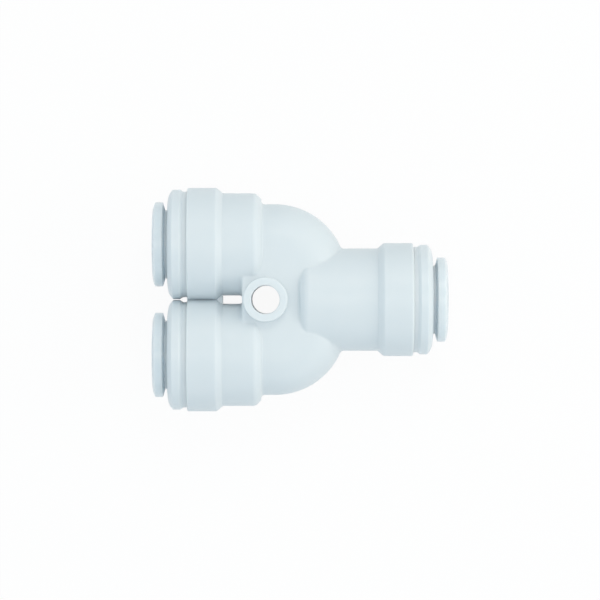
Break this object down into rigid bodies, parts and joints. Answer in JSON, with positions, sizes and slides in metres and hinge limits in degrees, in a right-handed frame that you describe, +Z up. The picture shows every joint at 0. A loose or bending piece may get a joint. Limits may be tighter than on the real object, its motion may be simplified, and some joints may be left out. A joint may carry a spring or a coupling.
{
  "type": "tubing Y connector",
  "caption": "Push-in Y connector for plastic tube, with two parallel outlets, an inlet, sliding release collets and a fixing hole.",
  "frame": {"origin": "centre of the fixing hole, on the plane that holds the axes of the three ports", "axes": "+X out of the inlet, along its axis; +Y towards outlet_1; +Z up, along the fixing hole"},
  "size_m": [0.0522, 0.0396, 0.02],
  "materials": {
    "body_plastic": "satin",
    "cap_plastic": "satin",
    "collet_plastic": "satin",
    "seal_rubber": "satin",
    "tooth_steel": "satin"
  },
  "bodies": {
    "housing": {"body": "body_plastic", "inlet_cap": "cap_plastic", "inlet_o_ring": "seal_rubber", "outlet_1_cap": "cap_plastic", "outlet_1_o_ring": "seal_rubber", "outlet_2_cap": "cap_plastic", "outlet_2_o_ring": "seal_rubber"},
    "inlet_sleeve": {"inlet_collet": "collet_plastic", "inlet_tooth_1": "tooth_steel", "inlet_tooth_2": "tooth_steel", "inlet_tooth_3": "tooth_steel", "inlet_tooth_4": "tooth_steel", "inlet_tooth_5": "tooth_steel", "inlet_tooth_6": "tooth_steel"},
    "outlet_1_sleeve": {"outlet_1_collet": "collet_plastic", "outlet_1_tooth_1": "tooth_steel", "outlet_1_tooth_2": "tooth_steel", "outlet_1_tooth_3": "tooth_steel", "outlet_1_tooth_4": "tooth_steel", "outlet_1_tooth_5": "tooth_steel", "outlet_1_tooth_6": "tooth_steel"},
    "outlet_2_sleeve": {"outlet_2_collet": "collet_plastic", "outlet_2_tooth_1": "tooth_steel", "outlet_2_tooth_2": "tooth_steel", "outlet_2_tooth_3": "tooth_steel", "outlet_2_tooth_4": "tooth_steel", "outlet_2_tooth_5": "tooth_steel", "outlet_2_tooth_6": "tooth_steel"}
  },
  "joints": [
    {"name": "inlet_collet_slide", "type": "slide", "parent": "housing", "child": "inlet_sleeve", "axis": [1, 0, 0], "range_m": [-0.0005, 0.0011]},
    {"name": "outlet_1_collet_slide", "type": "slide", "parent": "housing", "child": "outlet_1_sleeve", "axis": [-1, 0, 0], "range_m": [-0.0005, 0.0011]},
    {"name": "outlet_2_collet_slide", "type": "slide", "parent": "housing", "child": "outlet_2_sleeve", "axis": [-1, 0, 0], "range_m": [-0.0005, 0.0011]}
  ]
}
